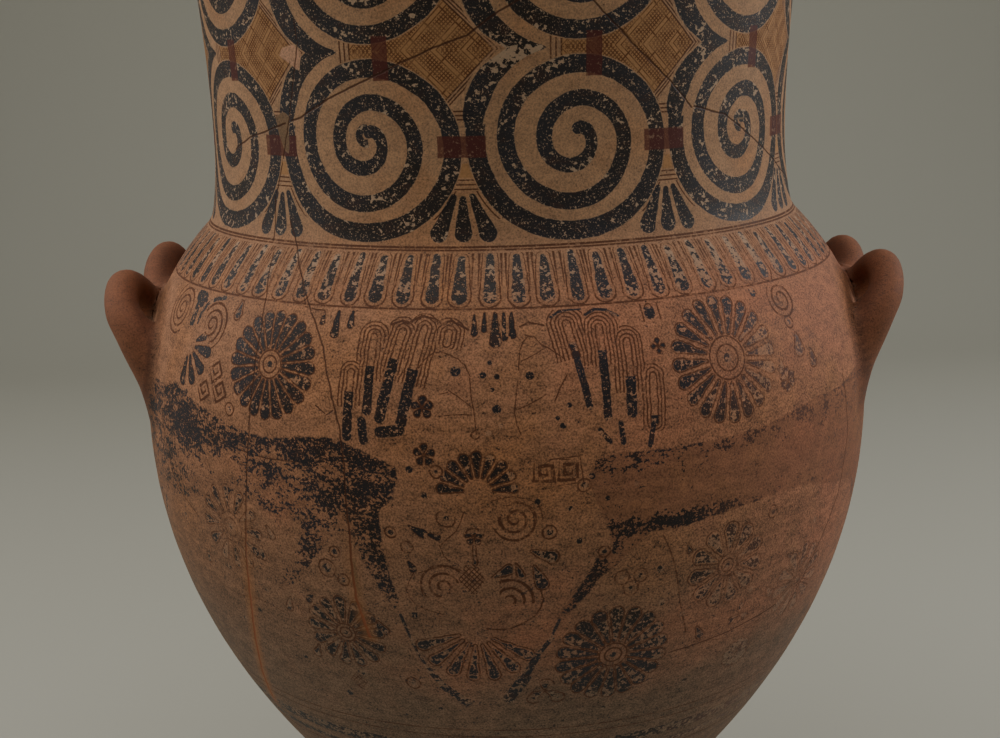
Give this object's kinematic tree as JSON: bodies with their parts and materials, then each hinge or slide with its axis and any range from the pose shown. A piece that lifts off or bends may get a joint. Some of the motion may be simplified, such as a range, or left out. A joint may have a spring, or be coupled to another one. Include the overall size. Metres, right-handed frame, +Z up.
{
  "type": "ancient pottery jar",
  "caption": "Tall wide-necked fired clay storage jar with a flaring hollow foot, an egg-shaped body, a thick lip and two low double-arched coil handles on the shoulder.",
  "frame": {"origin": "middle of the foot's underside, on the surface the jar stands on", "axes": "+Z up the jar's axis to the mouth, +X through the right handle, -Y to the painted front seen in the picture"},
  "size_m": [0.5302, 0.5, 0.9],
  "materials": {
    "amphora": "unglazed fired clay with a pale slip, burnished smooth and painted in worn brown-black and maroon"
  },
  "bodies": {
    "root": {"amphora": "amphora"}
  },
  "joints": []
}
